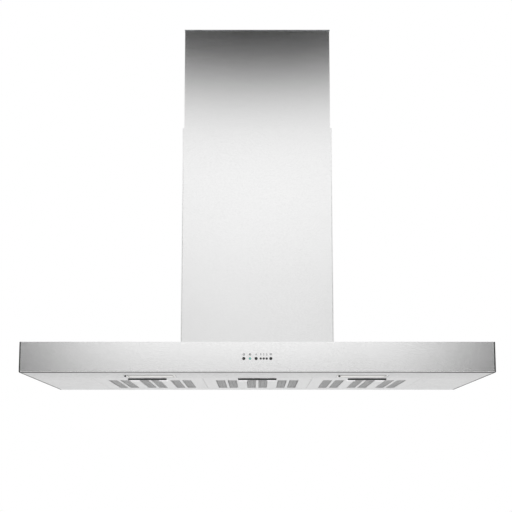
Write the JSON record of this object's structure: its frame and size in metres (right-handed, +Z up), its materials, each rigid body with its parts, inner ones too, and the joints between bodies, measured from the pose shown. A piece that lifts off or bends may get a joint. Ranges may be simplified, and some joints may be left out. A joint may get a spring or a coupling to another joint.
{
  "type": "island range hood",
  "caption": "Ceiling-hung island range hood with a flat wide canopy, telescopic chimney, tipping filters, lamps, push buttons, blower and damper.",
  "frame": {"origin": "centre of the ceiling plate's top face, where the hood is bolted to the ceiling", "axes": "+Z up into the ceiling, +X to the right along the canopy's width, -Y towards the control panel"},
  "size_m": [1.2, 0.6812, 0.9775],
  "materials": {
    "brushed_steel": "fine horizontal brushing",
    "galvanised_steel": "matte zinc coating",
    "zinc_fasteners": "bright zinc",
    "dark_fasteners": "black oxide",
    "shaft_steel": "ground",
    "mesh_aluminium": "expanded mesh, satin",
    "can_aluminium": "drawn can",
    "spring_steel": "drawn wire",
    "motor_paint": "dark grey paint",
    "fan_plastic": "moulded, fine grain",
    "latch_plastic": "moulded, satin",
    "button_plastic": "moulded, soft gloss",
    "white_plastic": "moulded, satin",
    "black_plastic": "moulded, satin",
    "lamp_diffuser": "frosted",
    "light_clear": "smoked clear lens, unlit",
    "light_green": "green lens, lit",
    "circuit_board": "solder mask"
  },
  "bodies": {
    "ceiling_frame": {"ceiling_plate": "galvanised_steel", "upper_chimney_front": "brushed_steel", "upper_chimney_rear": "brushed_steel", "upper_frame_screws": "zinc_fasteners", "upper_tower_left": "galvanised_steel", "upper_tower_right": "galvanised_steel"},
    "hood": {"canopy_shell": "brushed_steel", "top_cover": "brushed_steel", "base_ring": "galvanised_steel", "front_rail": "galvanised_steel", "rear_rail": "galvanised_steel", "lower_tower_left": "galvanised_steel", "lower_tower_right": "galvanised_steel", "tower_ring": "galvanised_steel", "tower_bolts": "zinc_fasteners", "motor_box": "galvanised_steel", "scroll_housing_left": "galvanised_steel", "scroll_housing_right": "galvanised_steel", "motor": "motor_paint", "motor_bracket": "galvanised_steel", "outlet_collar": "galvanised_steel", "capacitor": "can_aluminium", "electronics_box": "black_plastic", "terminal_block": "white_plastic", "cable_gland": "black_plastic", "control_housing": "black_plastic", "control_board": "circuit_board", "tact_switches": "black_plastic", "speed_lights": "light_clear", "filter_light": "light_green", "lamp_housing_left": "galvanised_steel", "lamp_housing_right": "galvanised_steel", "lamp_board_left": "circuit_board", "lamp_board_right": "circuit_board"},
    "lower_chimney": {"lower_chimney_front": "brushed_steel", "lower_chimney_rear": "brushed_steel", "lower_chimney_screws": "zinc_fasteners"},
    "impeller": {"impeller": "fan_plastic", "motor_shaft": "shaft_steel"},
    "damper_flap_left": {"damper_flap_left": "galvanised_steel"},
    "damper_flap_right": {"damper_flap_right": "galvanised_steel"},
    "filter_left": {"filter_panel_left": "brushed_steel", "filter_mesh_left": "mesh_aluminium", "latch_spring_left": "spring_steel"},
    "filter_latch_left": {"filter_latch_left": "latch_plastic"},
    "filter_centre": {"filter_panel_centre": "brushed_steel", "filter_mesh_centre": "mesh_aluminium", "latch_spring_centre": "spring_steel"},
    "filter_latch_centre": {"filter_latch_centre": "latch_plastic"},
    "filter_right": {"filter_panel_right": "brushed_steel", "filter_mesh_right": "mesh_aluminium", "latch_spring_right": "spring_steel"},
    "filter_latch_right": {"filter_latch_right": "latch_plastic"},
    "lamp_cover_left": {"lamp_cover_left": "lamp_diffuser", "lamp_catch_left": "dark_fasteners"},
    "lamp_cover_right": {"lamp_cover_right": "lamp_diffuser", "lamp_catch_right": "dark_fasteners"},
    "power_button": {"power_button": "button_plastic"},
    "fan_button": {"fan_button": "button_plastic"},
    "light_button": {"light_button": "button_plastic"}
  },
  "joints": [
    {"name": "height_adjust", "type": "slide", "parent": "ceiling_frame", "child": "hood", "axis": [0, 0, 1], "range_m": [-0.127, 0.123]},
    {"name": "lower_chimney_lift", "type": "slide", "parent": "hood", "child": "lower_chimney", "axis": [0, 0, 1], "range_m": [0, 0.14]},
    {"name": "impeller_spin", "type": "hinge", "parent": "hood", "child": "impeller", "pos_m": [0, -0.015, -0.777], "axis": [1, 0, 0], "continuous": true},
    {"name": "damper_left_swing", "type": "hinge", "parent": "hood", "child": "damper_flap_left", "pos_m": [-0.0025, 0.03, -0.61695], "axis": [0, 1, 0], "range_deg": [0, 75]},
    {"name": "damper_right_swing", "type": "hinge", "parent": "hood", "child": "damper_flap_right", "pos_m": [0.0025, 0.03, -0.61695], "axis": [0, -1, 0], "range_deg": [0, 75]},
    {"name": "filter_left_tip", "type": "hinge", "parent": "hood", "child": "filter_left", "pos_m": [-0.293, 0.274, -0.9702], "axis": [1, 0, 0], "range_deg": [0, 35]},
    {"name": "latch_left_pull", "type": "slide", "parent": "filter_left", "child": "filter_latch_left", "axis": [0, 1, 0], "range_m": [0, 0.006], "stiffness_N_per_m": 600, "springref_m": -0.004, "deforming": ["latch_spring_left"]},
    {"name": "filter_centre_tip", "type": "hinge", "parent": "hood", "child": "filter_centre", "pos_m": [0, 0.274, -0.9702], "axis": [1, 0, 0], "range_deg": [0, 35]},
    {"name": "latch_centre_pull", "type": "slide", "parent": "filter_centre", "child": "filter_latch_centre", "axis": [0, 1, 0], "range_m": [0, 0.006], "stiffness_N_per_m": 600, "springref_m": -0.004, "deforming": ["latch_spring_centre"]},
    {"name": "filter_right_tip", "type": "hinge", "parent": "hood", "child": "filter_right", "pos_m": [0.293, 0.274, -0.9702], "axis": [1, 0, 0], "range_deg": [0, 35]},
    {"name": "latch_right_pull", "type": "slide", "parent": "filter_right", "child": "filter_latch_right", "axis": [0, 1, 0], "range_m": [0, 0.006], "stiffness_N_per_m": 600, "springref_m": -0.004, "deforming": ["latch_spring_right"]},
    {"name": "lamp_cover_left_open", "type": "hinge", "parent": "hood", "child": "lamp_cover_left", "pos_m": [-0.2149, -0.217, -0.9712], "axis": [0, -1, 0], "range_deg": [0, 80]},
    {"name": "lamp_cover_right_open", "type": "hinge", "parent": "hood", "child": "lamp_cover_right", "pos_m": [0.3371, -0.217, -0.9712], "axis": [0, -1, 0], "range_deg": [0, 80]},
    {"name": "power_button_press", "type": "slide", "parent": "hood", "child": "power_button", "axis": [0, 1, 0], "range_m": [0, 0.001], "stiffness_N_per_m": 800, "springref_m": -0.001},
    {"name": "fan_button_press", "type": "slide", "parent": "hood", "child": "fan_button", "axis": [0, 1, 0], "range_m": [0, 0.001], "stiffness_N_per_m": 800, "springref_m": -0.001},
    {"name": "light_button_press", "type": "slide", "parent": "hood", "child": "light_button", "axis": [0, 1, 0], "range_m": [0, 0.001], "stiffness_N_per_m": 800, "springref_m": -0.001}
  ]
}
